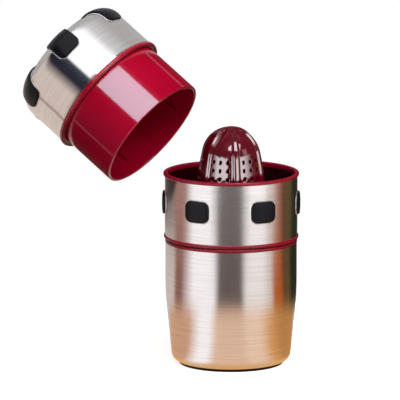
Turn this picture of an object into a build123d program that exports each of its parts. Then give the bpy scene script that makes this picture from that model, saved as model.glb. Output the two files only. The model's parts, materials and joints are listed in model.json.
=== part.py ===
from build123d import *
from math import asin, atan, cos, degrees, floor, radians, sin, tan
import os

# Citrus twist press: a steel cup, a press body that screws onto it, and a lid that is turned by hand.
# Millimetres and degrees, +Z up, origin at the centre of the base pad's underside.
# The lid stands off the press body, tilted, as it is when it has just been taken off.

# Clearances
seat_clearance = 0.1        # round a piece that is pushed into another
seal_gap = 0.25             # round a soft seal in its groove
insert_clearance = 0.7      # between the lid's press cup and the bore it turns in
thread_clearance = 0.5      # between a thread's crests and the wall they face

# Base pad and cup
base_pad_thickness = 1.5
base_pad_inset = 4.6
cup_radius = 43.7
cup_wall = 1.0
cup_foot_radius = 39.1
cup_foot_fillet = 6.0
cup_taper_top = 47.4
cup_shoulder_reach = 11.6   # how far the bend runs each way from the top of the taper
cup_top = 81.7

# Cup collar, with the female thread
collar_overhang = 0.2
collar_bead_height = 2.2
collar_skirt_wall = 1.7
collar_skirt_depth = 15.0
bead_rounding = 0.8

# Thread between the cup and the press body
thread_starts = 2
thread_lead = 8.0
thread_sweep = 300.0
thread_step = 12.0
thread_depth = 1.3
thread_root_half = 0.95
thread_crest_half = 0.6
thread_embed = 0.4
thread_middle_below_collar = 7.0

# Seals
seal_width = 1.6
seal_proud = 0.45
seal_groove_depth = 0.9

# Press body
flange_overhang = 0.75
flange_thickness = 2.2
spigot_wall = 1.6
spigot_depth = 13.0
sleeve_step = 0.3
sleeve_wall = 0.6
sleeve_height = 39.7
liner_wall = 1.1
rim_overhang = 1.1
rim_height = 2.2

# Reamer
reamer_floor_lift = 9.1
reamer_floor_thickness = 1.8
reamer_skirt_wall = 1.6
reamer_foot_radius = 25.3
reamer_flank_radius = 216.0
reamer_shoulder_height = 47.0
reamer_foot_band = 1.5
reamer_wall = 1.8
rib_count = 6
rib_angle = 13.0
rib_height = 1.3
rib_cap_radius = 4.0
first_rib_angle = -81.0
hole_size = 2.1
hole_columns = 3
hole_column_angle = 15.0
hole_row_pitch = 5.85
hole_first_row = 7.35

# Grip pads: flat ones on the press body, folded ones over the lid's top edge
pad_count = 6
pad_width = 17.6
pad_corner = 4.3
pad_proud = 1.7
pad_edge_rounding = 0.5
press_pad_height = 14.2
press_pad_lift = 21.4       # from the steel band's foot to the middle of a pad
press_first_pad_angle = -121.3
lid_pad_drop = 16.7         # down the lid's side
lid_pad_reach = 17.0        # in over the lid's top
lid_first_pad_angle = -86.5

# Lid
lid_flange_overhang = 1.0
lid_flange_thickness = 2.8
lid_cover_height = 40.3
lid_cover_wall = 0.4
lid_cover_corner = 12.0
insert_depth = 40.4
insert_wall = 2.0
insert_mouth_rounding = 0.6
upstand_height = 5.0
insert_shoulder_thickness = 1.5
grip_rib_count = 10
grip_rib_width = 1.2
grip_rib_height = 1.5
grip_rib_mouth_gap = 8.7
first_grip_rib_angle = 90.0

# Place of the lid when it is off: it aims at a point on the cup's axis, this far from its seat.
lid_swing_lift = 19.1
lid_swing_radius = 113.5
lid_tilt = 54.0
lid_swing_azimuth = 151.5

# Radii that follow from the fits
collar_radius = cup_radius + collar_overhang
collar_skirt_radius = cup_radius - cup_wall - seat_clearance
collar_bore = collar_skirt_radius - collar_skirt_wall
spigot_crest_radius = collar_bore - thread_clearance
spigot_radius = spigot_crest_radius - thread_depth
spigot_bore = spigot_radius - spigot_wall
sleeve_radius = cup_radius + sleeve_step
liner_radius = sleeve_radius - sleeve_wall - seat_clearance
press_bore = liner_radius - liner_wall
flange_radius = sleeve_radius + flange_overhang
rim_radius = sleeve_radius + rim_overhang
reamer_skirt_radius = press_bore - seat_clearance
insert_radius = press_bore - insert_clearance
lid_cover_radius = sleeve_radius
lid_flange_radius = sleeve_radius + lid_flange_overhang
upstand_radius = lid_cover_radius - lid_cover_wall - seat_clearance
insert_ceiling_corner = lid_cover_corner - lid_cover_wall

# Heights that follow from the stack, with the lid closed
collar_top = cup_top + collar_bead_height
flange_bottom = collar_top + seal_gap + seal_proud
flange_top = flange_bottom + flange_thickness
sleeve_top = flange_top + sleeve_height
rim_top = sleeve_top + rim_height
reamer_floor = flange_top + reamer_floor_lift
lid_flange_bottom = rim_top + seal_proud
lid_flange_top = lid_flange_bottom + lid_flange_thickness
lid_top = lid_flange_top + lid_cover_height
upstand_top = lid_flange_top + upstand_height
insert_mouth = lid_flange_bottom - insert_depth
insert_ceiling = lid_top - lid_cover_wall - seat_clearance

# Reamer outline: a long flank arc that starts upright at the floor, and a round nose tangent to it
flank_lean = asin(reamer_shoulder_height / reamer_flank_radius)
flank_top_radius = reamer_foot_radius - reamer_flank_radius * (1 - cos(flank_lean))
nose_radius = flank_top_radius / cos(flank_lean)
nose_height = reamer_floor + reamer_shoulder_height - flank_top_radius * tan(flank_lean)


def lathe(outline, arc=360.0):
    """Turn an outline drawn as (radius, height) about the cup's axis."""
    return revolve(Plane.XZ * outline, Axis.Z, revolution_arc=arc)


def ring(inner_radius, outer_radius, bottom, top):
    """A plain ring with square edges."""
    middle = Pos((inner_radius + outer_radius) / 2, (bottom + top) / 2)
    return lathe(middle * Rectangle(outer_radius - inner_radius, top - bottom))


def bead(inner_radius, outer_radius, bottom, top):
    """A ring with rounded edges."""
    height = top - bottom
    rounding = min(bead_rounding, 0.45 * height)
    middle = Pos((inner_radius + outer_radius) / 2, (bottom + top) / 2)
    return lathe(middle * RectangleRounded(outer_radius - inner_radius, height, rounding))


def cup_form(inset):
    """The cup's outside form, moved inwards by the inset and solid up to the cup's edge."""
    bottom = base_pad_thickness + inset
    taper = abs(atan((cup_radius - cup_foot_radius) / (cup_taper_top - bottom)))
    shoulder_radius = cup_shoulder_reach / tan(taper / 2)
    side = FilletPolyline(
        (0, bottom),
        (cup_foot_radius - inset, bottom),
        (cup_radius - inset, cup_taper_top),
        (cup_radius - inset, cup_top),
        radius=[cup_foot_fillet - inset, shoulder_radius],
    )
    closing = Polyline((cup_radius - inset, cup_top), (0, cup_top), (0, bottom))
    return lathe(make_face(side.edges() + closing.edges()))


def cap_form(radius, bottom, top, corner):
    """A solid cap with a flat top and a rounded top edge."""
    side = FilletPolyline((radius, bottom), (radius, top), (0, top), radius=corner)
    closing = Polyline((0, top), (0, bottom), (radius, bottom))
    return lathe(make_face(side.edges() + closing.edges()))


def reamer_outline(inset, bottom):
    """The reamer's outline, moved inwards by the inset and closed at the given height."""
    lean = degrees(flank_lean)
    flank_centre = (reamer_foot_radius - reamer_flank_radius, reamer_floor)
    flank = CenterArc(flank_centre, reamer_flank_radius - inset, 0, lean)
    nose = CenterArc((0, nose_height), nose_radius - inset, lean, 90 - lean)
    foot = reamer_foot_radius - inset
    closing = Polyline(
        (0, nose_height + nose_radius - inset),
        (0, bottom),
        (foot, bottom),
        (foot, reamer_floor),
    )
    return make_face(flank.edges() + nose.edges() + closing.edges())


def flank_radius_at(height):
    """The radius of the reamer's ribs at a height on the flank."""
    rise = height - reamer_floor
    return reamer_foot_radius - reamer_flank_radius * (1 - cos(asin(rise / reamer_flank_radius)))


def thread_rib(root_radius, crest_radius, middle, start_angle):
    """One start of a thread: a tapered rib that climbs round a wall, inwards or outwards."""
    reach = crest_radius - root_radius
    root = -thread_embed if reach > 0 else thread_embed
    outline = make_face(
        Polyline(
            (root, -thread_root_half),
            (reach, -thread_crest_half),
            (reach, thread_crest_half),
            (root, thread_root_half),
            close=True,
        )
    )
    steps = round(thread_sweep / thread_step)
    sections = []
    for step in range(steps + 1):
        turn = thread_sweep * step / steps
        climb = thread_lead * (turn - thread_sweep / 2) / 360
        place = Rot(0, 0, start_angle + turn) * Pos(root_radius, 0, middle + climb)
        sections.append(place * (Plane.XZ * outline))
    return loft(sections, ruled=True)


def pad_block(height, middle):
    """A block with rounded corners that reaches out sideways to a round wall."""
    facing = Plane(origin=(0, 0, middle), x_dir=(0, 1, 0), z_dir=(1, 0, 0))
    return extrude(facing * RectangleRounded(pad_width, height, pad_corner), sleeve_radius + 2 * pad_proud)


def make_press_pad(angle):
    """A soft pad that wraps the press body's steel band."""
    middle = flange_top + press_pad_lift
    bottom = middle - press_pad_height
    skin = ring(sleeve_radius, sleeve_radius + pad_proud, bottom, middle + press_pad_height)
    pad = pad_block(press_pad_height, middle) & skin
    outer_face = pad.faces().sort_by(Axis.X)[-1]
    pad = fillet(outer_face.edges(), pad_edge_rounding)
    return Rot(0, 0, angle) * pad


def make_lid_pad(angle):
    """A soft pad that folds over the lid's rounded top edge."""
    bottom = lid_top - lid_pad_drop
    outer_radius = lid_cover_radius + pad_proud
    outside = cap_form(outer_radius, lid_flange_top, lid_top + pad_proud, lid_cover_corner + pad_proud)
    skin = outside - cap_form(lid_cover_radius, lid_flange_top, lid_top, lid_cover_corner)
    overshoot = pad_proud + pad_corner
    side_height = lid_pad_drop + overshoot
    side_block = pad_block(side_height, bottom + side_height / 2)
    length = lid_pad_reach + overshoot
    middle = lid_cover_radius - lid_pad_reach + length / 2
    outline = RectangleRounded(length, pad_width, pad_corner)
    top_block = extrude(Pos(middle, 0, bottom) * outline, side_height)
    return Rot(0, 0, angle) * (skin & side_block & top_block)


def make_base_pad():
    return ring(0, cup_foot_radius - base_pad_inset, 0, base_pad_thickness)


def make_cup_shell():
    return cup_form(0) - cup_form(cup_wall)


def make_cup_collar():
    collar = bead(collar_bore, collar_radius, cup_top, collar_top)
    skirt_bottom = cup_top - collar_skirt_depth
    collar += ring(collar_bore, collar_skirt_radius, skirt_bottom, collar_top - bead_rounding)
    crest_radius = collar_bore - thread_depth
    middle = collar_top - thread_middle_below_collar
    for start in range(thread_starts):
        # Half way between two turns of the press body's thread, so that the flanks stay apart
        angle = 360 * (start + 0.5) / thread_starts
        collar += thread_rib(collar_bore, crest_radius, middle, angle)
    return collar


def seal_radii():
    """The cup seal lies in the middle of the collar's top face."""
    middle = (collar_bore + collar_radius) / 2
    return middle - seal_width / 2, middle + seal_width / 2


def lid_seal_radii():
    """The lid seal lies in the middle of the press body's rim."""
    middle = (press_bore + rim_radius) / 2
    return middle - seal_width / 2, middle + seal_width / 2


def make_cup_seal():
    inner, outer = seal_radii()
    return ring(inner, outer, flange_bottom - seal_proud, flange_bottom + seal_groove_depth - seal_gap)


def make_press_bottom_ring():
    inner, outer = seal_radii()
    base_ring = bead(spigot_bore, flange_radius, flange_bottom, flange_top)
    base_ring += ring(spigot_bore, spigot_radius, collar_top - spigot_depth, flange_top - bead_rounding)
    middle = collar_top - thread_middle_below_collar
    for start in range(thread_starts):
        base_ring += thread_rib(spigot_radius, spigot_crest_radius, middle, 360 * start / thread_starts)
    groove = ring(inner - seal_gap, outer + seal_gap, flange_bottom, flange_bottom + seal_groove_depth)
    return base_ring - groove


def make_press_sleeve():
    return ring(sleeve_radius - sleeve_wall, sleeve_radius, flange_top, sleeve_top)


def make_press_liner():
    liner = ring(press_bore, liner_radius, flange_top, sleeve_top + bead_rounding)
    return liner + bead(press_bore, rim_radius, sleeve_top, rim_top)


def make_reamer():
    underside = reamer_floor - reamer_floor_thickness
    reamer = lathe(reamer_outline(0, underside))
    reamer += ring(0, reamer_skirt_radius, underside, reamer_floor)
    reamer += ring(reamer_skirt_radius - reamer_skirt_wall, reamer_skirt_radius, flange_top, reamer_floor)
    reamer -= panel_recesses()
    reamer -= lathe(reamer_outline(rib_height + reamer_wall, flange_top))
    return reamer - drain_holes()


def panel_recesses():
    """What is cut away between the ribs: from a band at the foot up to a cap where the ribs meet."""
    bottom = reamer_floor + reamer_foot_band
    width = reamer_foot_radius - rib_cap_radius + rib_height
    height = nose_height + nose_radius + rib_height - bottom
    block = Pos(rib_cap_radius + width / 2, bottom + height / 2) * Rectangle(width, height)
    outside = block - reamer_outline(rib_height, reamer_floor - reamer_floor_thickness)
    recess = lathe(outside, 360 / rib_count - rib_angle)
    first_angle = first_rib_angle + rib_angle / 2
    return [Rot(0, 0, first_angle + 360 * rib / rib_count) * recess for rib in range(rib_count)]


def drain_holes():
    """Square holes in rows and columns on each panel between two ribs."""
    rows = floor((reamer_shoulder_height - hole_first_row - hole_size) / hole_row_pitch) + 1
    holes = []
    for panel in range(rib_count):
        panel_angle = first_rib_angle + 360 * (panel + 0.5) / rib_count
        for column in range(hole_columns):
            angle = panel_angle + hole_column_angle * (column - (hole_columns - 1) / 2)
            for row in range(rows):
                height = reamer_floor + hole_first_row + hole_row_pitch * row
                depth = 4 * reamer_wall
                place = Rot(0, 0, angle) * Pos(flank_radius_at(height) - rib_height, 0, height)
                holes.append(place * Box(depth, hole_size, hole_size))
    return holes


def make_lid_cover():
    outside = cap_form(lid_cover_radius, lid_flange_top, lid_top, lid_cover_corner)
    inside_corner = lid_cover_corner - lid_cover_wall
    inside_radius = lid_cover_radius - lid_cover_wall
    return outside - cap_form(inside_radius, lid_flange_top, lid_top - lid_cover_wall, inside_corner)


def make_lid_ring():
    """The flange that the lid turns on, with an upstand that the steel cover is pushed onto."""
    inner, outer = lid_seal_radii()
    bore = insert_radius + seat_clearance
    flange = bead(bore, lid_flange_radius, lid_flange_bottom, lid_flange_top)
    flange += ring(bore, upstand_radius, lid_flange_top - bead_rounding, upstand_top)
    groove_top = lid_flange_bottom + seal_groove_depth
    return flange - ring(inner - seal_gap, outer + seal_gap, lid_flange_bottom, groove_top)


def make_press_cup():
    bore = insert_radius - insert_wall
    inside_corner = insert_ceiling_corner - insert_wall
    cup = cap_form(insert_radius, insert_mouth, insert_ceiling, insert_ceiling_corner)
    cup += ring(bore, upstand_radius, upstand_top, upstand_top + insert_shoulder_thickness)
    cup -= cap_form(bore, insert_mouth, insert_ceiling - insert_wall, inside_corner)
    cup = fillet(cup.edges().group_by(Axis.Z)[0], min(insert_mouth_rounding, 0.45 * insert_wall))
    bottom = insert_mouth + grip_rib_mouth_gap
    length = insert_ceiling - insert_ceiling_corner - bottom
    depth = grip_rib_height + insert_wall / 2
    for rib in range(grip_rib_count):
        turn = Rot(0, 0, first_grip_rib_angle + 360 * rib / grip_rib_count)
        middle = Pos(bore - grip_rib_height + depth / 2, 0, bottom + length / 2)
        cup += turn * middle * Box(depth, grip_rib_width, length)
    return cup


def make_lid_seal():
    inner, outer = lid_seal_radii()
    top = lid_flange_bottom + seal_groove_depth - seal_gap
    return ring(inner, outer, lid_flange_bottom - seal_proud, top)


def take_off(piece):
    """Move a piece of the closed lid to where the lid is held once it is off."""
    centre = flange_top + lid_swing_lift
    azimuth = radians(lid_swing_azimuth)
    swing_axis = Axis((0, 0, centre), (-sin(azimuth), cos(azimuth), 0))
    raised = Pos(0, 0, centre + lid_swing_radius - rim_top) * piece
    return raised.rotate(swing_axis, lid_tilt)


nodes = {
    "base_pad": make_base_pad(),
    "cup_shell": make_cup_shell(),
    "cup_collar": make_cup_collar(),
    "cup_seal": make_cup_seal(),
    "press_bottom_ring": make_press_bottom_ring(),
    "press_sleeve": make_press_sleeve(),
    "press_liner": make_press_liner(),
    "reamer": make_reamer(),
    "lid_seal": take_off(make_lid_seal()),
    "lid_ring": take_off(make_lid_ring()),
    "press_cup": take_off(make_press_cup()),
    "lid_cover": take_off(make_lid_cover()),
}
for number in range(pad_count):
    spacing = 360 / pad_count * number
    nodes[f"press_grip_pad_{number + 1}"] = make_press_pad(press_first_pad_angle + spacing)
    nodes[f"lid_grip_pad_{number + 1}"] = take_off(make_lid_pad(lid_first_pad_angle + spacing))

os.makedirs("parts", exist_ok=True)
for name, solid in nodes.items():
    export_step(solid, f"parts/{name}.step")
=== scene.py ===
import json
from math import asin, atan2, cos, degrees, hypot, pi, radians, sin, sqrt, tan

import bpy
from mathutils import Matrix, Vector


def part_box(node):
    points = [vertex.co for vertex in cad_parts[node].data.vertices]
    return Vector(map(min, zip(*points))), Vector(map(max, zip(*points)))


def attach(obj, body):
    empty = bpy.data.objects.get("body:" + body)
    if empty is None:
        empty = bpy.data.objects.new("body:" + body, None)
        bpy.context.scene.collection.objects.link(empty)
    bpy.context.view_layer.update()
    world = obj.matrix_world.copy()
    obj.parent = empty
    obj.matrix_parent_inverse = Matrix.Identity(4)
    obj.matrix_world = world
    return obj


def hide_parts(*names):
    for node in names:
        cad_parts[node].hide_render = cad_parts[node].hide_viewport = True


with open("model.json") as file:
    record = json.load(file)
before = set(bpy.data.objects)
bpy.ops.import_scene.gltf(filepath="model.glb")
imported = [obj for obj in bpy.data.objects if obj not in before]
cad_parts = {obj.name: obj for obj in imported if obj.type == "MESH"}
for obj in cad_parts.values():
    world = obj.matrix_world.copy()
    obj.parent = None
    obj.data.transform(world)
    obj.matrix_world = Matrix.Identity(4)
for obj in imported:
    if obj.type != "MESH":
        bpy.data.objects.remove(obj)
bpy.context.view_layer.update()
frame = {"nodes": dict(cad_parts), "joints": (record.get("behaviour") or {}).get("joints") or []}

# Citrus twist press: the looks of a steel cup, a press body with a reamer, and a lid held off to the left.
# Metres and radians, in the frame's own axes: +Z up along the cup, -Y towards the camera.

# Camera, in a square frame with the cup's axis to the right of its middle
image_width = 400
pixels_per_metre = 1506
camera_distance = 4.0
camera_elevation = radians(10.3)
sensor_width = 36.0
camera_reach = 100.0
frame_centre = Vector((-0.0207, 0.0, 0.1095))
towards_camera = Vector((0.0, -cos(camera_elevation), sin(camera_elevation)))

# Meshes: points round a lathed piece, and the angle past which an edge stays sharp
lathe_turns = 256
sharp_edge = radians(40)

# Reamer
reamer_foot_radius = 0.0253
reamer_flank_radius = 0.216
reamer_shoulder_height = 0.047
reamer_wall = 0.0018
reamer_foot_rounding = 0.0012
reamer_edge_rounding = 0.0006
rib_count = 6
rib_height = 0.0013
rib_crest_half = radians(3.2)
rib_slope = radians(5.0)
rib_cap_radius = 0.004
rib_cap_fade = 0.004
rib_foot_fade = 0.002
first_rib_angle = radians(-81.0)
hole_size = 0.0021
hole_columns = 3
hole_rows = 7
hole_column_angle = radians(15.0)
hole_row_pitch = 0.00585
hole_first_row = 0.00735
hole_edge_rounding = 0.00015
hole_edge_segments = 2
hole_edge_angle = radians(60)

# Reamer's mesh: steps along its roundings, up its flank and across its panels
reamer_edge_steps = 4
reamer_floor_shares = 0.9, 0.75
reamer_foot_steps = 5
below_holes_steps = 6
between_rows_steps = 3
beside_holes_steps = 10
between_columns_steps = 3
least_panel_radius = 4 * hole_size
nose_steps = 18
nose_end = radians(88)

# Grip pads and the steel edge round each of them
pad_count = 6
pad_corner = 0.0043
pad_least_corner = 0.00015
pad_edge_rounding = 0.0008
pad_rounding_steps = 6
pad_crown = 0.0003
pad_crown_shares = 0.15, 0.3, 0.45, 0.6, 0.75, 0.9
corner_steps = 8
edge_steps = 14
pad_edge_width = 0.0008
pad_edge_height = 0.0003
pad_edge_steps = 8

# Lid cover
cover_corner = 0.012
cover_wall = 0.0004
cover_edge_rounding = 0.00015
cover_hub = 0.00005
cover_edge_steps = 4
cover_corner_steps = 16
cover_inside_steps = 12
cover_shares = 0.25, 0.5, 0.75

# Grains to the metre of the materials' noise, along X, Y and the third axis
fine_brush = 45.0, 45.0, 4200.0
broad_brush = 20.0, 20.0, 1100.0
smudges = 38.0, 38.0, 30.0
clouds = 22.0, 22.0, 22.0
edge_grain = 900.0, 900.0, 900.0
plastic_grain = 900.0, 900.0, 900.0
rubber_grain = 2600.0, 2600.0, 2600.0

# Roughness, smoothest and roughest
cup_gloss = 0.17, 0.20
sleeve_gloss = 0.18, 0.22
cover_gloss = 0.13, 0.16
smudge_gloss = -0.015, 0.02
edge_gloss = 0.3, 0.4
red_gloss = 0.07, 0.12
bead_gloss = 0.20, 0.30
grip_gloss = 0.22, 0.30
seal_gloss = 0.42, 0.55

# Mixing of the noises: their detail, the broad brushing's share, and the spans that tones run over
fine_detail = 3.0
broad_share = 0.5
streak_span = 0.35, 0.65
skin_span = 0.1, 0.4

# Depth and strength of the fine relief
brush_depth = 0.00001
edge_depth = 0.00002
skin_depth = 0.00005
relief_strength = 0.06
edge_strength = 0.1

# Height over which the liner goes from its painted shade inside to its bright rim
liner_fade = 0.001

# Colours, linear
steel_light = (0.84, 0.82, 0.81, 1.0)
steel_dark = (0.72, 0.70, 0.69, 1.0)
# Painted highlight: the near-white tone of the pads' rolled steel edges
edge_painted_highlight = (0.96, 0.95, 0.95, 1.0)
red_bright = (0.50, 0.002, 0.030, 1.0)
red_deep = (0.42, 0.0015, 0.022, 1.0)
bead_bright = (0.36, 0.0015, 0.024, 1.0)
bead_deep = (0.28, 0.001, 0.016, 1.0)
# Reamer reds: a deep wine of their own, darkened further by painted shade
wine_and_shade_bright = (0.16, 0.001, 0.012, 1.0)
wine_and_shade = (0.10, 0.0008, 0.007, 1.0)
# Painted shade: the deep wine that darkens the liner's inside
painted_shade_wine = (0.025, 0.0005, 0.002, 1.0)
black_soft = (0.006, 0.006, 0.010, 1.0)
black_deep = (0.003, 0.003, 0.005, 1.0)
seal_red = (0.28, 0.002, 0.016, 1.0)
seal_dark = (0.20, 0.0015, 0.011, 1.0)

joints = {joint["name"]: joint for joint in frame["joints"]}
swing = joints["lid_swing"]
lid_turn = Matrix.Rotation(-radians(swing["range_deg"][1]), 4, Vector(swing["axis"]))
lid_place = Matrix.Translation(Vector(joints["lid_twist"]["pos_m"])) @ lid_turn
upright = Matrix.Identity(4)


# Shapes

def smooth_step(value):
    """0 below 0, 1 above 1, and an even curve between them."""
    share = min(1.0, max(0.0, value))
    return share * share * (3 - 2 * share)


def between(start, end, steps):
    """Even steps from start towards end, without the end itself."""
    return [start + (end - start) * step / steps for step in range(steps)]


def arc(centre, radius, start, end, steps):
    """Points (radius, height) along an arc, both ends included."""
    angles = between(start, end, steps) + [end]
    return [(centre[0] + radius * cos(angle), centre[1] + radius * sin(angle)) for angle in angles]


def make_piece(name, points, faces, place, body, material):
    """A smooth-shaded mesh in its own axes, put in its place and carried by a body."""
    mesh = bpy.data.meshes.new(name)
    mesh.from_pydata(points, [], faces)
    mesh.validate()
    mesh.polygons.foreach_set("use_smooth", [True] * len(mesh.polygons))
    mesh.set_sharp_from_angle(angle=sharp_edge)
    mesh.materials.append(material)
    piece = bpy.data.objects.new(name, mesh)
    bpy.context.scene.collection.objects.link(piece)
    piece.matrix_world = place
    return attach(piece, body)


def strip_faces(rows, columns, closed_rows=False):
    """Quads between rows of points that each go all the way round."""
    faces = []
    for row in range(rows if closed_rows else rows - 1):
        below = row * columns
        above = (row + 1) % rows * columns
        for column in range(columns):
            beside = (column + 1) % columns
            faces.append((below + column, below + beside, above + beside, above + column))
    return faces


def lathe(name, outline, place, body, material):
    """A round piece from a closed outline of (radius, height) points, none of them on the axis."""
    points = []
    for radius, height in outline:
        for angle in between(0, 2 * pi, lathe_turns):
            points.append((radius * cos(angle), radius * sin(angle), height))
    faces = strip_faces(len(outline), lathe_turns, closed_rows=True)
    return make_piece(name, points, faces, place, body, material)


def round_size(node, place):
    """A node's least and greatest radius, and its lowest and highest point, in the axes of its place."""
    back = place.inverted()
    points = [back @ vertex.co for vertex in frame["nodes"][node].data.vertices]
    radii = [hypot(point.x, point.y) for point in points]
    heights = [point.z for point in points]
    return min(radii), max(radii), min(heights), max(heights)


# Materials

def add(tree, kind, **settings):
    """A new shader node with its settings."""
    made = tree.nodes.new("ShaderNode" + kind)
    for name, value in settings.items():
        setattr(made, name, value)
    return made


def new_material(name, **values):
    """A material with one main shader, whose constant values sit on its own sockets."""
    material = bpy.data.materials.new(name)
    material.use_nodes = True
    tree = material.node_tree
    shader = tree.nodes["Principled BSDF"]
    for socket, value in values.items():
        shader.inputs[socket.replace("_", " ")].default_value = value
    return material, tree, shader


def noise(tree, vector, stretch, detail=2.0):
    """Noise over the surface, with its own number of grains to the metre along each axis."""
    scaled = add(tree, "VectorMath", operation="MULTIPLY")
    scaled.inputs[1].default_value = stretch
    tree.links.new(vector, scaled.inputs[0])
    made = add(tree, "TexNoise")
    made.inputs["Scale"].default_value = 1.0
    made.inputs["Detail"].default_value = detail
    tree.links.new(scaled.outputs[0], made.inputs["Vector"])
    return made.outputs["Fac"]


def spread(tree, value, low, high, start=0.3, end=0.7):
    """A value from start to end, mapped to run from low to high."""
    made = add(tree, "MapRange")
    made.inputs["From Min"].default_value = start
    made.inputs["From Max"].default_value = end
    made.inputs["To Min"].default_value = low
    made.inputs["To Max"].default_value = high
    tree.links.new(value, made.inputs["Value"])
    return made.outputs["Result"]


def two_tone(tree, value, low, high, start=0.3, end=0.7):
    """A colour that runs from low to high as the value does."""
    made = add(tree, "ValToRGB")
    made.color_ramp.elements[0].position = start
    made.color_ramp.elements[0].color = low
    made.color_ramp.elements[1].position = end
    made.color_ramp.elements[1].color = high
    tree.links.new(value, made.inputs["Fac"])
    return made.outputs["Color"]


def bump(tree, shader, height, strength, distance):
    """Fine relief from a height."""
    made = add(tree, "Bump")
    made.inputs["Strength"].default_value = strength
    made.inputs["Distance"].default_value = distance
    tree.links.new(height, made.inputs["Height"])
    tree.links.new(made.outputs["Normal"], shader.inputs["Normal"])


def steel(name, gloss):
    """Steel brushed round its own Z axis, with a gloss that goes from streak to streak."""
    material, tree, shader = new_material(
        name, Metallic=1.0, Anisotropic=0.35, Anisotropic_Rotation=0.25
    )
    links = tree.links
    tangent = add(tree, "Tangent", direction_type="RADIAL", axis="Z")
    links.new(tangent.outputs["Tangent"], shader.inputs["Tangent"])
    axes = add(tree, "SeparateXYZ")
    links.new(add(tree, "TexCoord").outputs["Object"], axes.inputs["Vector"])
    flat = add(tree, "CombineXYZ")
    links.new(axes.outputs["X"], flat.inputs["X"])
    links.new(axes.outputs["Y"], flat.inputs["Y"])
    radius = add(tree, "VectorMath", operation="LENGTH")
    links.new(flat.outputs["Vector"], radius.inputs[0])
    across = add(tree, "Math", operation="ADD")
    links.new(radius.outputs["Value"], across.inputs[0])
    links.new(axes.outputs["Z"], across.inputs[1])
    brushed = add(tree, "CombineXYZ")
    links.new(axes.outputs["X"], brushed.inputs["X"])
    links.new(axes.outputs["Y"], brushed.inputs["Y"])
    links.new(across.outputs["Value"], brushed.inputs["Z"])
    fine = noise(tree, brushed.outputs["Vector"], fine_brush, fine_detail)
    broad = noise(tree, brushed.outputs["Vector"], broad_brush)
    smudge = noise(tree, brushed.outputs["Vector"], smudges)
    mixed = add(tree, "Math", operation="MULTIPLY_ADD")
    mixed.inputs[1].default_value = broad_share
    links.new(broad, mixed.inputs[0])
    fine_part = add(tree, "Math", operation="MULTIPLY")
    fine_part.inputs[1].default_value = 1 - broad_share
    links.new(fine, fine_part.inputs[0])
    links.new(fine_part.outputs["Value"], mixed.inputs[2])
    colour = two_tone(tree, mixed.outputs["Value"], steel_dark, steel_light, *streak_span)
    links.new(colour, shader.inputs["Base Color"])
    uneven = add(tree, "Math", operation="ADD")
    links.new(spread(tree, mixed.outputs["Value"], *gloss), uneven.inputs[0])
    links.new(spread(tree, smudge, *smudge_gloss), uneven.inputs[1])
    links.new(uneven.outputs["Value"], shader.inputs["Roughness"])
    bump(tree, shader, fine, relief_strength, brush_depth)
    return material


def moulded(name, bright, deep, gloss, grain, **values):
    """Moulded plastic or silicone: two close tones in soft clouds, an uneven gloss and a fine skin."""
    material, tree, shader = new_material(name, **values)
    place = add(tree, "TexCoord").outputs["Object"]
    cloud = noise(tree, place, clouds, fine_detail)
    tree.links.new(two_tone(tree, cloud, deep, bright), shader.inputs["Base Color"])
    skin = noise(tree, place, grain)
    mixed = add(tree, "Math", operation="MULTIPLY")
    tree.links.new(cloud, mixed.inputs[0])
    tree.links.new(skin, mixed.inputs[1])
    roughness = spread(tree, mixed.outputs["Value"], *gloss, *skin_span)
    tree.links.new(roughness, shader.inputs["Roughness"])
    bump(tree, shader, skin, relief_strength, skin_depth)
    return material


def paint_shade_below(material, deep, bright, low, high):
    """Paint shade into a moulded material: a painted shade tone at a low height that runs to a bright tone
    higher up.
    """
    tree = material.node_tree
    axes = add(tree, "SeparateXYZ")
    tree.links.new(add(tree, "TexCoord").outputs["Object"], axes.inputs["Vector"])
    share = spread(tree, axes.outputs["Z"], 0.0, 1.0, low, high)
    colour = two_tone(tree, share, deep, bright, 0.0, 1.0)
    tree.links.new(colour, tree.nodes["Principled BSDF"].inputs["Base Color"])
    return material


def rolled_edge():
    """The steel of a window's rolled edge, brighter than the steel round it by a painted highlight, with a
    grainy, rough gloss.
    """
    material, tree, shader = new_material("rolled_edge", Metallic=0.8)
    place = add(tree, "TexCoord").outputs["Object"]
    grain = noise(tree, place, edge_grain)
    tree.links.new(two_tone(tree, grain, steel_light, edge_painted_highlight), shader.inputs["Base Color"])
    tree.links.new(spread(tree, grain, *edge_gloss), shader.inputs["Roughness"])
    bump(tree, shader, grain, edge_strength, edge_depth)
    return material


rim_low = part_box("press_sleeve")[1].z
cup_steel = steel("cup_steel", cup_gloss)
sleeve_steel = steel("sleeve_steel", sleeve_gloss)
cover_steel = steel("cover_steel", cover_gloss)
edge_steel = rolled_edge()
red_plastic = moulded("red_plastic", red_bright, red_deep, red_gloss, plastic_grain, IOR=1.58)
liner_red = moulded("liner_red", red_bright, red_deep, bead_gloss, plastic_grain, IOR=1.46)
# The liner's inside is painted shade, a deep wine below its rim that runs to the bright red of the rim
paint_shade_below(liner_red, painted_shade_wine, bead_bright, rim_low - liner_fade, rim_low)
bead_red = moulded("bead_red", bead_bright, bead_deep, bead_gloss, plastic_grain, IOR=1.46)
# The reamer's dark wine is partly its own colour and partly painted shade
reamer_red = moulded(
    "reamer_red", wine_and_shade_bright, wine_and_shade, red_gloss, plastic_grain,
    IOR=1.65, Coat_Weight=1.0, Coat_IOR=1.6, Coat_Roughness=0.05,
)
grip_rubber = moulded(
    "grip_rubber", black_soft, black_deep, grip_gloss, rubber_grain, IOR=1.4, Specular_IOR_Level=0.25
)
seal_rubber = moulded("seal_rubber", seal_red, seal_dark, seal_gloss, rubber_grain, IOR=1.42)


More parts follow.
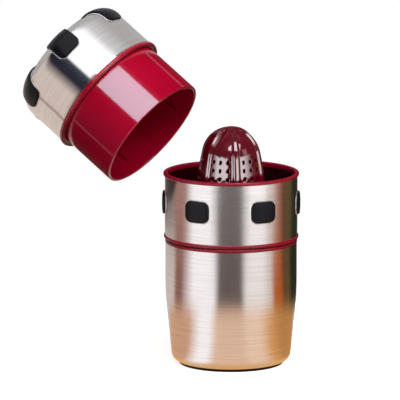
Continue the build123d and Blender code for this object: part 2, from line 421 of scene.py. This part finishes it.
def paint(material, *node_names):
    """Give carried-over nodes their material."""
    for node_name in node_names:
        mesh = frame["nodes"][node_name].data
        mesh.materials.clear()
        mesh.materials.append(material)


paint(cup_steel, "cup_shell")
paint(sleeve_steel, "press_sleeve")
paint(red_plastic, "lid_ring", "press_cup")
paint(bead_red, "cup_collar", "press_bottom_ring")
paint(liner_red, "press_liner")
paint(grip_rubber, "base_pad")
paint(seal_rubber, "cup_seal", "lid_seal")


# Lid cover: a deep-drawn steel cap

def make_lid_cover():
    """The cap, with the same wall all over and a pinhole at its hub."""
    _, radius, low, high = round_size("lid_cover", lid_place)
    edge = cover_edge_rounding
    inner = radius - cover_wall
    corner_centre = (radius - cover_corner, high - cover_corner)
    outline = arc((radius - edge, low + edge), edge, -pi / 2, 0, cover_edge_steps)
    outline += [(radius, low + (corner_centre[1] - low) * share) for share in cover_shares]
    outline += arc(corner_centre, cover_corner, 0, pi / 2, cover_corner_steps)
    outline += [(corner_centre[0] * share, high) for share in cover_shares[::-1]]
    outline += [(cover_hub, high), (cover_hub, high - cover_wall)]
    outline += arc(corner_centre, cover_corner - cover_wall, pi / 2, 0, cover_inside_steps)
    outline += [(inner, low)]
    cover = lathe("lid_cover_skin", outline, lid_place, "lid", cover_steel)
    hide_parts("lid_cover")


make_lid_cover()


# Grip pads: soft black pads with rounded corners, each in a window with a rolled edge made bright by a
# painted highlight

def rounded_loop(half_width, half_length, corner):
    """Points (across, along) round a rectangle with rounded corners, starting at its right side."""
    flat_width = half_width - corner
    flat_length = half_length - corner
    ends = []
    for side, end, quarter in ((1, 1, 0), (-1, 1, 1), (-1, -1, 2), (1, -1, 3)):
        centre = (side * flat_width, end * flat_length)
        ends.append(arc(centre, corner, quarter * pi / 2, (quarter + 1) * pi / 2, corner_steps))
    loop = []
    for quarter, end in enumerate(ends):
        following = ends[(quarter + 1) % 4][0]
        loop += end[:-1]
        across = between(end[-1][0], following[0], edge_steps)
        along = between(end[-1][1], following[1], edge_steps)
        loop += zip(across, along)
    return loop


def loop_fill(start):
    """Faces across a rounded loop, from each point on its left side to the one facing it."""
    count = 4 * (corner_steps + edge_steps)
    mirror = 2 * corner_steps + edge_steps
    faces = []
    for left in range(mirror // 2, mirror // 2 + count // 2):
        corners = (left, left + 1, (mirror - left - 1) % count, (mirror - left) % count)
        faces.append([start + corner for corner in dict.fromkeys(corners)])
    return faces


def straight_wall(radius, middle):
    """Lays a flat pattern onto an upright round wall: across, up from the middle, and off the wall."""
    def lay(across, along, lift):
        return sqrt((radius + lift) ** 2 - across ** 2), across, middle + along
    return lay


def folded_wall(radius, top, corner, middle):
    """Lays a flat pattern up a round wall, over its rounded top edge and in over its top."""
    def lay(across, along, lift):
        run = middle + along
        bend = min(max(run / corner, 0.0), pi / 2)
        over = max(run - corner * pi / 2, 0.0)
        reach = radius - corner + (corner + lift) * cos(bend) - over
        height = top - corner + (corner + lift) * sin(bend) + min(run, 0.0)
        return sqrt(reach ** 2 - across ** 2), across, height
    return lay


def pad_points(node, place):
    """A pad's turn about the axis of its place, and its points with that turn undone."""
    back = place.inverted()
    points = [back @ vertex.co for vertex in frame["nodes"][node].data.vertices]
    middle = sum(points, Vector()) / len(points)
    turn = atan2(middle.y, middle.x)
    return turn, [Matrix.Rotation(-turn, 3, "Z") @ point for point in points]


def press_pad_size(node):
    """The turn, wall, half width, half length and thickness of a pad on the press body."""
    turn, points = pad_points(node, upright)
    radii = [hypot(point.x, point.y) for point in points]
    low = min(point.z for point in points)
    high = max(point.z for point in points)
    wall = straight_wall(min(radii), (low + high) / 2)
    half_width = max(point.y for point in points)
    return turn, wall, half_width, (high - low) / 2, max(radii) - min(radii)


def lid_pad_size(node):
    """The turn, wall, half width, half length and thickness of a pad that folds over the lid's edge."""
    turn, points = pad_points(node, lid_place)
    _, radius, _, top = round_size("lid_cover", lid_place)
    thickness = max(point.z for point in points) - top
    start = cover_corner - top + min(point.z for point in points)
    end = radius - min(point.x for point in points) + cover_corner * (pi / 2 - 1)
    wall = folded_wall(radius, top, cover_corner, (start + end) / 2)
    half_width = max(point.y for point in points)
    return turn, wall, half_width, (end - start) / 2, thickness


def make_pad(name, node, size, place, body):
    """A soft pad with rounded edges and a slight crown."""
    turn, wall, half_width, half_length, thickness = size
    rows = [(0.0, 0.0), (0.0, (thickness - pad_edge_rounding) / 2)]
    for inset, height in arc((0, 0), pad_edge_rounding, 0, pi / 2, pad_rounding_steps):
        rows.append((pad_edge_rounding - inset, thickness - pad_edge_rounding + height))
    reach = min(half_width, half_length) - pad_edge_rounding
    for share in pad_crown_shares:
        rows.append((pad_edge_rounding + reach * share, thickness + pad_crown * (1 - (1 - share) ** 2)))
    points = []
    for inset, lift in rows:
        corner = max(pad_corner - inset, pad_least_corner)
        loop = rounded_loop(half_width - inset, half_length - inset, corner)
        points += [wall(across, along, lift) for across, along in loop]
    faces = strip_faces(len(rows), len(loop))
    faces += loop_fill((len(rows) - 1) * len(loop))
    faces += [face[::-1] for face in loop_fill(0)]
    pad = make_piece(name, points, faces, place @ Matrix.Rotation(turn, 4, "Z"), body, grip_rubber)
    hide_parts(node)


def make_pad_edge(name, size, place, body):
    """The rolled steel edge of the window that a pad sits in."""
    turn, wall, half_width, half_length, _ = size
    points = []
    sunk = pad_edge_height / 2
    for step in range(pad_edge_steps + 1):
        share = step / pad_edge_steps
        outset = pad_edge_width * (1 - share)
        lift = pad_edge_height * sin(pi * share) - sunk * (1 - sin(pi * share))
        loop = rounded_loop(half_width + outset, half_length + outset, pad_corner + outset)
        points += [wall(across, along, lift) for across, along in loop]
    faces = strip_faces(pad_edge_steps + 1, len(loop), closed_rows=True)
    edge = make_piece(name, points, faces, place @ Matrix.Rotation(turn, 4, "Z"), body, edge_steel)


for number in range(1, pad_count + 1):
    size = press_pad_size(f"press_grip_pad_{number}")
    make_pad(f"press_pad_{number}", f"press_grip_pad_{number}", size, upright, "press_body")
    make_pad_edge(f"press_pad_edge_{number}", size, upright, "press_body")
    size = lid_pad_size(f"lid_grip_pad_{number}")
    make_pad(f"lid_pad_{number}", f"lid_grip_pad_{number}", size, lid_place, "lid")
    make_pad_edge(f"lid_pad_edge_{number}", size, lid_place, "lid")


# Reamer: a ribbed dome with square holes, its floor and its skirt

def reamer_meridian():
    """Rows up the reamer from its skirt to its nose: (radius, height, hole row or not)."""
    low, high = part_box("reamer")
    lean = asin(reamer_shoulder_height / reamer_flank_radius)
    top_radius = reamer_foot_radius - reamer_flank_radius * (1 - cos(lean))
    nose_radius = top_radius / cos(lean)
    nose_centre = high.z - nose_radius
    floor = nose_centre + top_radius * tan(lean) - reamer_shoulder_height
    skirt = high.x
    edge = reamer_edge_rounding
    foot = reamer_foot_rounding
    rows = [(skirt, low.z), (skirt, (low.z + floor) / 2)]
    rows += arc((skirt - edge, floor - edge), edge, 0, pi / 2, reamer_edge_steps)
    rows += [(skirt * share, floor) for share in reamer_floor_shares]
    rows += arc((reamer_foot_radius + foot, floor + foot), foot, -pi / 2, -pi, reamer_foot_steps)
    rows = [(radius, height, False) for radius, height in rows]

    def flank(rise, is_hole=False):
        radius = reamer_foot_radius - reamer_flank_radius * (1 - cos(asin(rise / reamer_flank_radius)))
        rows.append((radius, floor + rise, is_hole))

    start = foot
    for row in range(hole_rows):
        hole_low = hole_first_row + hole_row_pitch * row - hole_size / 2
        steps = below_holes_steps if row == 0 else between_rows_steps
        for rise in between(start, hole_low, steps)[1:]:
            flank(rise)
        flank(hole_low, True)
        flank(hole_low + hole_size / 2, True)
        start = hole_low + hole_size
        flank(start)
    for rise in between(start, reamer_shoulder_height, between_rows_steps)[1:]:
        flank(rise)
    for radius, height in arc((0, nose_centre), nose_radius, lean, nose_end, nose_steps):
        rows.append((radius, height, False))
    return rows, floor, high.z


def panel_columns(radius):
    """Turns across a panel, from rib to rib, with the holes' width at a radius, and which start a hole."""
    half_panel = pi / rib_count
    half_hole = hole_size / 2 / radius
    columns = []
    start = -half_panel
    for column in range(hole_columns):
        middle = hole_column_angle * (column - (hole_columns - 1) / 2)
        steps = beside_holes_steps if column == 0 else between_columns_steps
        columns += [(turn, False) for turn in between(start, middle - half_hole, steps)]
        columns += [(middle - half_hole, True), (middle, True)]
        start = middle + half_hole
    columns += [(turn, False) for turn in between(start, half_panel, beside_holes_steps)]
    return columns


def make_reamer():
    """The reamer's skin with its ribs and holes, given a wall and rounded edges."""
    rows, floor, tip = reamer_meridian()
    points = []
    for index, (radius, height, _) in enumerate(rows):
        before = rows[max(index - 1, 0)]
        after = rows[min(index + 1, len(rows) - 1)]
        run = Vector((after[0] - before[0], after[1] - before[1])).normalized()
        outward = (run.y, -run.x)
        on_flank = smooth_step((height - floor - reamer_foot_rounding) / rib_foot_fade)
        off_cap = smooth_step((radius - rib_cap_radius) / rib_cap_fade)
        deepest = rib_height * on_flank * off_cap
        columns = panel_columns(min(max(radius, least_panel_radius), reamer_foot_radius))
        for panel in range(rib_count):
            panel_turn = first_rib_angle + 2 * pi * (panel + 0.5) / rib_count
            for turn, _ in columns:
                off_rib = pi / rib_count - abs(turn)
                depth = deepest * smooth_step((off_rib - rib_crest_half) / rib_slope)
                angle = panel_turn + turn
                reach = radius - depth * outward[0]
                points.append((reach * cos(angle), reach * sin(angle), height - depth * outward[1]))
    around = len(columns) * rib_count
    faces = []
    for row in range(len(rows) - 1):
        for column in range(around):
            if rows[row][2] and columns[column % len(columns)][1]:
                continue
            beside = (column + 1) % around
            below = row * around
            above = below + around
            faces.append((below + column, below + beside, above + beside, above + column))
    top = len(points)
    points.append((0.0, 0.0, tip))
    last = (len(rows) - 1) * around
    faces += [(last + column, last + (column + 1) % around, top) for column in range(around)]
    reamer = make_piece("reamer_form", points, faces, upright, "press_body", reamer_red)
    wall = reamer.modifiers.new("wall", "SOLIDIFY")
    wall.thickness = reamer_wall
    wall.offset = -1.0
    edges = reamer.modifiers.new("edges", "BEVEL")
    edges.width = hole_edge_rounding
    edges.segments = hole_edge_segments
    edges.limit_method = "ANGLE"
    edges.angle_limit = hole_edge_angle
    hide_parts("reamer")


make_reamer()


# Stage: floor, reflectors, light and camera
# The reflectors show in reflections alone: they are what the steel and the glossy plastic mirror.
# Azimuths are in degrees: 0 is towards the camera and + is to the right.

# Table top, and the mats on it round the cup
floor_radius = 0.21
floor_turns = 128
floor_pale = (0.80, 0.77, 0.74, 1.0)
floor_roughness = 0.9
floor_straight, floor_reflected = 0.72, 0.10
mat_height = 0.0005
foot_mat_radius = 0.055
near_mat_radius = 0.13
cup_mat_start = 0.22
cup_mat_radius = 0.50
blend_steps = 6

# Steps round every reflector, and the room's walls
band_steps = 180
wall_radius = 2.8
wall_low, wall_high, wall_top = -4.0, 0.3, 5.2

# Tent, softbox and skirt round the lid's axis, with heights along it from the lid's twist joint
tent_radius = 0.07
tent_low, tent_seam, tent_high = -0.034, 0.0082, 0.12
tent_back_radius = 0.072
tent_sides = -141, 141
tent_window = -7, 43
tent_distance = 0.11
lid_softbox_angles = -1.5, 26.5
lid_softbox_radius = 0.6
lid_softbox_low, lid_softbox_high = 0.095, 0.195
lid_skirt_radius = 0.19
lid_skirt_height = -0.045
lid_skirt_azimuths = -15, 72

# Cards for the reamer, and the shelf under them
reamer_card_radius = 0.16
reamer_card_low, reamer_card_high = 0.134, 0.175
left_card_azimuths = -72, -12
right_card_azimuths = 16, 80
card_shelf_start, card_shelf_end = (0.0455, 0.1288), (0.07, 0.131)

# Lights
ambient_strength = 0.22
key_direction, key_distance, key_size = (0.20, -0.61, 0.77), 1.5, (1.2, 0.9)
key_radiance, key_reflected = 5.4, 5.4
fill_direction, fill_distance, fill_size = (0.80, -0.45, 0.40), 1.6, (0.5, 0.5)
fill_radiance, fill_reflected = 4.0, 1.0

# Colours of the stage, linear, with values over 1 for what glows
white_card = (1.15, 1.10, 1.12, 1.0)
soft_card = (0.95, 0.91, 0.88, 1.0)
beige_card = (0.74, 0.63, 0.57, 1.0)
tan_mat = (0.70, 0.40, 0.25, 1.0)
pink_mat = (0.87, 0.58, 0.42, 1.0)
cream_mat = (0.96, 0.67, 0.49, 1.0)
gold_mat = (0.80, 0.39, 0.14, 1.0)
amber_mat = (0.58, 0.27, 0.09, 1.0)
foot_mat = (0.82, 0.45, 0.17, 1.0)
brown_board = (0.28, 0.12, 0.10, 1.0)
rose_board = (0.42, 0.22, 0.18, 1.0)
dusk_board = (0.22, 0.18, 0.17, 1.0)
orange_board = (0.52, 0.11, 0.015, 1.0)
rust_board = (0.14, 0.05, 0.025, 1.0)
moss_board = (0.12, 0.08, 0.035, 1.0)
green_board = (0.02, 0.026, 0.012, 1.0)
grey_board = (0.18, 0.15, 0.15, 1.0)
dark_board = (0.11, 0.085, 0.08, 1.0)
light_grey = (0.74, 0.74, 0.75, 1.0)
mid_grey = (0.50, 0.49, 0.49, 1.0)
dim_room = (0.06, 0.055, 0.055, 1.0)
pale_ceiling = (0.16, 0.16, 0.16, 1.0)
navy = (0.015, 0.015, 0.03, 1.0)
white = (1.0, 1.0, 1.0, 1.0)
softbox_glow = (5.4, 8.6, 10.2, 1.0)
reamer_glow = (4.7, 4.7, 4.8, 1.0)
lid_white = (1.35, 1.35, 1.38, 1.0)
magenta_glow = (0.09, 0.03, 0.08, 1.0)
thin_line_glow = (0.6, 0.6, 0.65, 1.0)
wine_shade = (0.02, 0.008, 0.010, 1.0)
warm_shade = (0.10, 0.08, 0.07, 1.0)
back_mat = (0.66, 0.62, 0.59, 1.0)
back_board = (0.55, 0.52, 0.50, 1.0)

# Each stop is the angle on a piece's own round side at which a colour shows, and the colour.
lower_cup_stops = (
    (-82, back_mat),
    (-74, tan_mat),
    (-42, tan_mat),
    (-29, white_card),
    (-21, white_card),
    (-13, pink_mat),
    (10, pink_mat),
    (16, cream_mat),
    (27, cream_mat),
    (38, gold_mat),
    (52, amber_mat),
    (76, amber_mat),
    (84, back_mat),
)
upper_cup_stops = (
    (-88, back_board),
    (-61, beige_card),
    (-56, brown_board),
    (-49, brown_board),
    (-35, white_card),
    (-15.5, white_card),
    (-10.5, dark_board),
    (8, dark_board),
    (13, soft_card),
    (28, soft_card),
    (37, beige_card),
    (40.5, orange_board),
    (48, orange_board),
    (53, rust_board),
    (57, moss_board),
    (61, moss_board),
    (65, green_board),
    (82, green_board),
    (88, back_board),
)
sleeve_stops = (
    (-90, dusk_board),
    (-64, dusk_board),
    (-54, rose_board),
    (-43, rose_board),
    (-35, white_card),
    (-19, white_card),
    (-10, grey_board),
    (8, grey_board),
    (17, white_card),
    (29, white_card),
    (34, beige_card),
    (38, beige_card),
    (44, rose_board),
    (51, rust_board),
    (57, moss_board),
    (62, moss_board),
    (68, green_board),
    (80, green_board),
    (90, dusk_board),
)
lid_cover_stops = (
    (-90, beige_card),
    (-50, beige_card),
    (-48, brown_board),
    (-46, beige_card),
    (-23, beige_card),
    (-13, navy),
    (-1.5, navy),
    (0, lid_white),
    (25, lid_white),
    (33, light_grey),
    (50, mid_grey),
    (90, mid_grey),
)
lid_insert_stops = (
    (-90, warm_shade),
    (-60, wine_shade),
    (-45.5, wine_shade),
    (-45, thin_line_glow),
    (-44, thin_line_glow),
    (-43.5, magenta_glow),
    (-26, magenta_glow),
    (-24, wine_shade),
    (62.5, wine_shade),
    (63.5, thin_line_glow),
    (65, thin_line_glow),
    (66, wine_shade),
    (90, warm_shade),
)

# These stops are azimuths as they stand.
foot_stops = ((-150, back_mat), (-120, foot_mat), (120, foot_mat), (150, back_mat))
left_card_stops = ((-72, dim_room), (-50, reamer_glow), (-12, reamer_glow))
right_card_stops = ((16, reamer_glow), (42, reamer_glow), (80, dim_room))


def seen_share(tree, straight, reflected):
    """One share for what the camera sees straight, and one for what it sees reflected or through glass."""
    path = add(tree, "LightPath")
    either = add(tree, "Math", operation="MAXIMUM")
    tree.links.new(path.outputs["Is Glossy Ray"], either.inputs[0])
    tree.links.new(path.outputs["Is Transmission Ray"], either.inputs[1])
    indirect = add(tree, "Math", operation="MULTIPLY")
    indirect.inputs[1].default_value = reflected
    tree.links.new(either.outputs["Value"], indirect.inputs[0])
    total = add(tree, "Math", operation="MULTIPLY_ADD")
    total.inputs[1].default_value = straight
    tree.links.new(path.outputs["Is Camera Ray"], total.inputs[0])
    tree.links.new(indirect.outputs["Value"], total.inputs[2])
    return total.outputs["Value"]


def make_floor():
    """A pale round table top that is white to the camera and keeps the object's shadow."""
    turns = between(0, 2 * pi, floor_turns)
    points = [(floor_radius * cos(turn), floor_radius * sin(turn), 0) for turn in turns]
    mesh = bpy.data.meshes.new("floor")
    mesh.from_pydata(points, [], [range(floor_turns)])
    floor = bpy.data.objects.new("floor", mesh)
    bpy.context.scene.collection.objects.link(floor)
    material, tree, shader = new_material("floor", Base_Color=floor_pale, Roughness=floor_roughness)
    glow = add(tree, "Emission")
    tree.links.new(seen_share(tree, floor_straight, floor_reflected), glow.inputs["Strength"])
    both = add(tree, "AddShader")
    tree.links.new(shader.outputs["BSDF"], both.inputs[0])
    tree.links.new(glow.outputs["Emission"], both.inputs[1])
    tree.links.new(both.outputs["Shader"], tree.nodes["Material Output"].inputs["Surface"])
    mesh.materials.append(material)


def colour_by_azimuth(tree, stops):
    """A colour that goes from stop to stop round the object's own Z axis."""
    angle = add(tree, "TexGradient", gradient_type="RADIAL")
    tree.links.new(add(tree, "TexCoord").outputs["Object"], angle.inputs["Vector"])
    made = add(tree, "ValToRGB")
    elements = made.color_ramp.elements
    while len(elements) < len(stops):
        elements.new(1.0)
    for element, (azimuth, colour) in zip(elements, stops):
        element.position = azimuth / 360 + 0.5
        element.color = colour
    tree.links.new(angle.outputs["Fac"], made.inputs["Fac"])
    return made.outputs["Color"]


def make_band(name, place, start, end, stops, azimuths=(-180, 180), around=None):
    """A studio reflector between two circles (radius, height) of a place, coloured by azimuth."""
    turns = between(radians(azimuths[0]), radians(azimuths[1]), band_steps) + [radians(azimuths[1])]
    points = []
    for radius, height in (start, end):
        points += [Vector((radius * cos(turn), radius * sin(turn), height)) for turn in turns]
    faces = [(step, step + 1, step + band_steps + 2, step + band_steps + 1) for step in range(band_steps)]
    axes = around or place
    laid = [axes.inverted() @ place @ point for point in points]
    band, tree, glow = show_in_reflections(name, laid, faces)
    band.matrix_world = axes
    tree.links.new(colour_by_azimuth(tree, stops), glow.inputs["Color"])


def plain_band(name, place, start, end, colour, azimuths=(-180, 180)):
    """A studio reflector in one colour."""
    make_band(name, place, start, end, ((-180, colour), (180, colour)), azimuths)


def colour_at(stops, azimuth):
    """The colour that stops give at an azimuth."""
    for (low, first), (high, second) in zip(stops, stops[1:]):
        if low <= azimuth <= high:
            share = (azimuth - low) / (high - low)
            return [start + (end - start) * share for start, end in zip(first, second)]
    return stops[0][1] if azimuth < stops[0][0] else stops[-1][1]


def make_blend(name, place, start, end, inner_stops, outer_stops):
    """Rings between two circles, whose colours pass from the inner stops to the outer ones."""
    azimuths = sorted({azimuth for azimuth, _ in inner_stops} | {azimuth for azimuth, _ in outer_stops})
    for step in range(blend_steps):
        share = smooth_step((step + 0.5) / blend_steps)
        stops = []
        for azimuth in azimuths:
            inner = colour_at(inner_stops, azimuth)
            outer = colour_at(outer_stops, azimuth)
            stops.append((azimuth, [low + (high - low) * share for low, high in zip(inner, outer)]))
        edges = [Vector(start).lerp(Vector(end), (step + side) / blend_steps) for side in (0, 1)]
        make_band(f"{name}_{step}", place, edges[0], edges[1], stops)


def seen_from(stops, radius, distance):
    """Turn angles on a round side into the azimuths that it mirrors, at a distance from its axis."""
    seen = []
    for angle, colour in stops:
        turn = radians(angle)
        seen.append((degrees(2 * turn - asin(sin(turn) * radius / distance)), colour))
    return seen


def facing_camera(axis, origin):
    """Axes with Z along the axis and azimuth 0 towards the camera."""
    up = Vector(axis).normalized()
    front = (towards_camera - up * towards_camera.dot(up)).normalized()
    turn = Matrix((front, up.cross(front), up)).transposed().to_4x4()
    return Matrix.Translation(origin) @ turn


def show_in_reflections(name, points, faces):
    """A glowing stage surface that only reflections see."""
    mesh = bpy.data.meshes.new(name)
    mesh.from_pydata(points, [], faces)
    material = bpy.data.materials.new(name)
    material.use_nodes = True
    tree = material.node_tree
    glow = add(tree, "Emission")
    tree.links.new(glow.outputs["Emission"], tree.nodes["Material Output"].inputs["Surface"])
    mesh.materials.append(material)
    screen = bpy.data.objects.new(name, mesh)
    screen.visible_camera = False
    screen.visible_diffuse = False
    screen.visible_transmission = False
    screen.visible_shadow = False
    bpy.context.scene.collection.objects.link(screen)
    return screen, tree, glow


def make_softbox(name, direction, distance, size, long_side, radiance, gloss):
    """A rectangular soft light aimed at the middle of the object, and the face that reflections show."""
    data = bpy.data.lights.new(name, "AREA")
    data.shape = "RECTANGLE"
    data.size, data.size_y = size
    data.energy = radiance * pi * size[0] * size[1]
    back = Vector(direction).normalized()
    across = Vector(long_side)
    across = (across - back * across.dot(back)).normalized()
    up = back.cross(across)
    light = bpy.data.objects.new(name, data)
    turn = Matrix((across, up, back)).transposed().to_4x4()
    light.matrix_world = Matrix.Translation(frame_centre + back * distance) @ turn
    light.visible_camera = False
    light.visible_glossy = False
    bpy.context.scene.collection.objects.link(light)
    half_long, half_short = size[0] / 2, size[1] / 2
    corners = [(-half_long, -half_short, 0), (half_long, -half_short, 0)]
    corners += [(half_long, half_short, 0), (-half_long, half_short, 0)]
    face, _, glow = show_in_reflections(name + "_face", corners, [(0, 1, 2, 3)])
    glow.inputs["Color"].default_value = white
    glow.inputs["Strength"].default_value = gloss
    face.matrix_world = light.matrix_world


def make_world():
    """Soft light from all round, and a white background."""
    world = bpy.data.worlds.new("studio")
    world.use_nodes = True
    tree = world.node_tree
    ambient = tree.nodes["Background"]
    ambient.inputs["Color"].default_value = white
    ambient.inputs["Strength"].default_value = ambient_strength
    backdrop = add(tree, "Background")
    backdrop.inputs["Color"].default_value = white
    chosen = add(tree, "MixShader")
    tree.links.new(seen_share(tree, 1.0, 1.0), chosen.inputs["Fac"])
    tree.links.new(ambient.outputs["Background"], chosen.inputs[1])
    tree.links.new(backdrop.outputs["Background"], chosen.inputs[2])
    tree.links.new(chosen.outputs["Shader"], tree.nodes["World Output"].inputs["Surface"])
    bpy.context.scene.world = world


def make_camera():
    """A long lens at the photograph's angle."""
    data = bpy.data.cameras.new("camera")
    data.sensor_width = sensor_width
    data.lens = sensor_width * camera_distance * pixels_per_metre / image_width
    data.clip_end = camera_reach
    camera = bpy.data.objects.new("camera", data)
    turn = (-towards_camera).to_track_quat("-Z", "Y").to_matrix().to_4x4()
    camera.matrix_world = Matrix.Translation(frame_centre + towards_camera * camera_distance) @ turn
    bpy.context.scene.collection.objects.link(camera)
    bpy.context.scene.camera = camera


def make_room():
    """Mats on the table for the cup to mirror, and walls and a ceiling for the press body."""
    foot_edge = (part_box("base_pad")[1].x, mat_height)
    foot_mat_edge = (foot_mat_radius, mat_height)
    near_edge = (near_mat_radius, mat_height)
    cup_start = (cup_mat_start, mat_height)
    cup_edge = (cup_mat_radius, mat_height)
    cup_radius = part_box("cup_shell")[1].x
    near_stops = seen_from(lower_cup_stops, cup_radius, near_mat_radius)
    cup_stops = seen_from(upper_cup_stops, cup_radius, (cup_mat_start + cup_mat_radius) / 2)
    wall_stops = seen_from(sleeve_stops, sleeve_radius, wall_radius)
    make_blend("foot_mat", room, foot_edge, foot_mat_edge, foot_stops, near_stops)
    make_band("near_mat", room, foot_mat_edge, near_edge, near_stops)
    make_blend("blend_mat", room, near_edge, cup_start, near_stops, cup_stops)
    make_band("cup_mat", room, cup_start, cup_edge, cup_stops)
    make_band("walls", room, (wall_radius, wall_low), (wall_radius, wall_high), wall_stops)
    plain_band("dim_walls", room, (wall_radius, wall_high), (wall_radius, wall_top), dim_room)
    plain_band("ceiling", room, (wall_radius, wall_top), (mat_height, wall_top), pale_ceiling)


def make_lid_tent():
    """A tent round the lid, whose outside looks like the walls, and a softbox seen through its window."""
    lid_radius = round_size("lid_cover", lid_place)[1]
    insert_stops = seen_from(lid_insert_stops, lid_radius, tent_radius)
    cover_stops = seen_from(lid_cover_stops, lid_radius, tent_radius)
    outer_stops = seen_from(sleeve_stops, sleeve_radius, tent_distance)
    heights = tent_low, tent_seam, tent_high
    inner_low, inner_seam, inner_high = [(tent_radius, height) for height in heights]
    outer_low, outer_seam, outer_high = [(tent_back_radius, height) for height in heights]
    left_part = tent_sides[0], tent_window[0]
    right_part = tent_window[1], tent_sides[1]
    for side, part in (("left", left_part), ("right", right_part)):
        make_band(f"insert_tent_{side}", around_lid, inner_low, inner_seam, insert_stops, part)
        make_band(f"tent_back_{side}", around_lid, outer_low, outer_seam, outer_stops, part, room)
    make_band("cover_tent", around_lid, inner_seam, inner_high, cover_stops, tent_sides)
    make_band("tent_back", around_lid, outer_seam, outer_high, outer_stops, tent_sides, room)
    plain_band("tent_top", around_lid, inner_high, (mat_height, tent_high), mid_grey)
    corners = [(angle, softbox_glow) for angle in lid_softbox_angles]
    softbox_sides = [azimuth for azimuth, _ in seen_from(corners, lid_radius, lid_softbox_radius)]
    softbox_low = (lid_softbox_radius, lid_softbox_low)
    softbox_high = (lid_softbox_radius, lid_softbox_high)
    plain_band("lid_softbox", around_lid, softbox_low, softbox_high, softbox_glow, softbox_sides)
    skirt_inside = (tent_back_radius, lid_skirt_height)
    skirt_outside = (lid_skirt_radius, lid_skirt_height)
    plain_band("lid_skirt", around_lid, skirt_inside, skirt_outside, dim_room, lid_skirt_azimuths)


def make_reamer_cards():
    """Two bright cards for the reamer to mirror, and a shelf that keeps them from the steel below."""
    card_low = (reamer_card_radius, reamer_card_low)
    card_high = (reamer_card_radius, reamer_card_high)
    plain_band("card_shelf", room, card_shelf_start, card_shelf_end, dim_room)
    make_band("left_card", room, card_low, card_high, left_card_stops, left_card_azimuths)
    make_band("right_card", room, card_low, card_high, right_card_stops, right_card_azimuths)


def make_lights():
    """A large key light above the camera and a small fill light at the right."""
    across, upwards = (1.0, 0.0, 0.0), (0.0, 0.0, 1.0)
    key = key_direction, key_distance, key_size, across, key_radiance, key_reflected
    fill = fill_direction, fill_distance, fill_size, upwards, fill_radiance, fill_reflected
    make_softbox("key_light", *key)
    make_softbox("fill_light", *fill)


room = facing_camera((0, 0, 1), (0, 0, 0))
around_lid = facing_camera(joints["lid_twist"]["axis"], joints["lid_twist"]["pos_m"])
sleeve_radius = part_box("press_sleeve")[1].x
make_floor()
make_room()
make_lid_tent()
make_reamer_cards()
make_lights()
make_world()
make_camera()
bpy.context.scene.view_settings.view_transform = "Standard"
